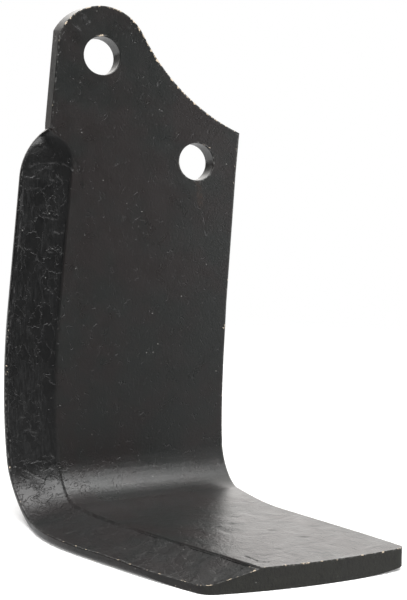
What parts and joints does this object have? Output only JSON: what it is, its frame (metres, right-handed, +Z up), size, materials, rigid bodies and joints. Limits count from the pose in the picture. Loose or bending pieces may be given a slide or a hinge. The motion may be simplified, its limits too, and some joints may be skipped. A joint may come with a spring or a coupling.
{
  "type": "rotary tiller blade",
  "caption": "L-shaped steel tiller blade with a bolted shank, a bevelled leading edge and a wide flat foot, painted black.",
  "frame": {"origin": "midway between the centres of the two bolt holes, on the flat outer face that seats on the rotor flange", "axes": "+Z up the shank towards the rounded ear, +Y out of the seating face, so the foot points to -Y, and +X across the shank from the bevelled cutting edge to the back edge"},
  "size_m": [0.1055, 0.1217, 0.2067],
  "materials": {
    "black_paint": "semi-gloss black paint over forged steel"
  },
  "bodies": {
    "root": {"tiller_blade": "black_paint"}
  },
  "joints": []
}
